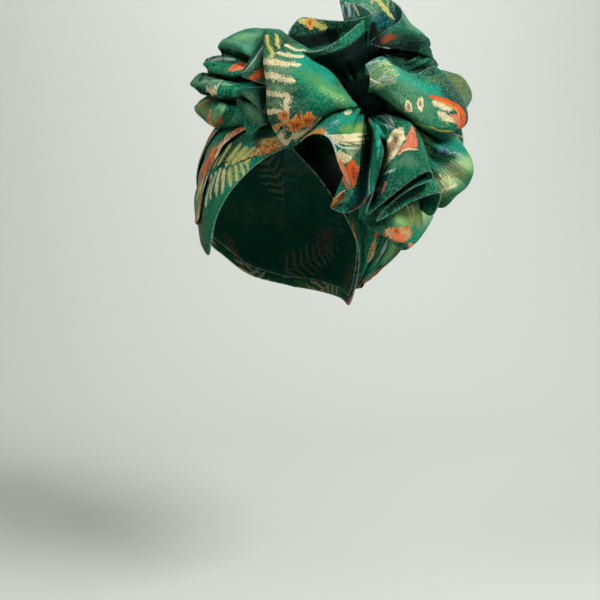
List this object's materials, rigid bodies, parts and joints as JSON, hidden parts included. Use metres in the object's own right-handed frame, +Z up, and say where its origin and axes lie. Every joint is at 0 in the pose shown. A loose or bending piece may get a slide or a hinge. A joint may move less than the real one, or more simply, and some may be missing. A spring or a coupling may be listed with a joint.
{
  "type": "tied gele head tie",
  "caption": "Head tie of stiff printed brocade wrapped round the head in lapping bands, gathered over the crown and knotted above one eye into a rosette of ruffles.",
  "frame": {"origin": "middle of the head that wears it, at brow height", "axes": "-Y the way the face looks, +X the wearer's left, +Z up through the crown"},
  "size_m": [0.2597, 0.243, 0.2913],
  "materials": {
    "brocade_green": "satin brocade in emerald green, printed with pale fern fronds, orange blossoms and gold speckle",
    "brocade_deep": "the same brocade where the print is sparse, in deep green",
    "brocade_warm": "the same brocade where the orange blossoms of the print lie close together"
  },
  "bodies": {
    "root": {"head_wrap": "brocade_deep", "brow_band_inner": "brocade_green", "brow_band_middle": "brocade_warm", "brow_band_outer": "brocade_green", "temple_band": "brocade_deep", "crown_gathers": "brocade_deep", "crown_pleat": "brocade_deep", "temple_pleat_upper": "brocade_deep", "temple_pleat_lower": "brocade_deep", "crown_puff": "brocade_green", "rosette_neck": "brocade_deep", "rosette_fan": "brocade_green", "ruffle_right": "brocade_green", "ruffle_top": "brocade_deep", "ruffle_back": "brocade_green", "ruffle_under": "brocade_green", "ruffle_rear": "brocade_deep", "side_drape": "brocade_deep"}
  },
  "joints": []
}
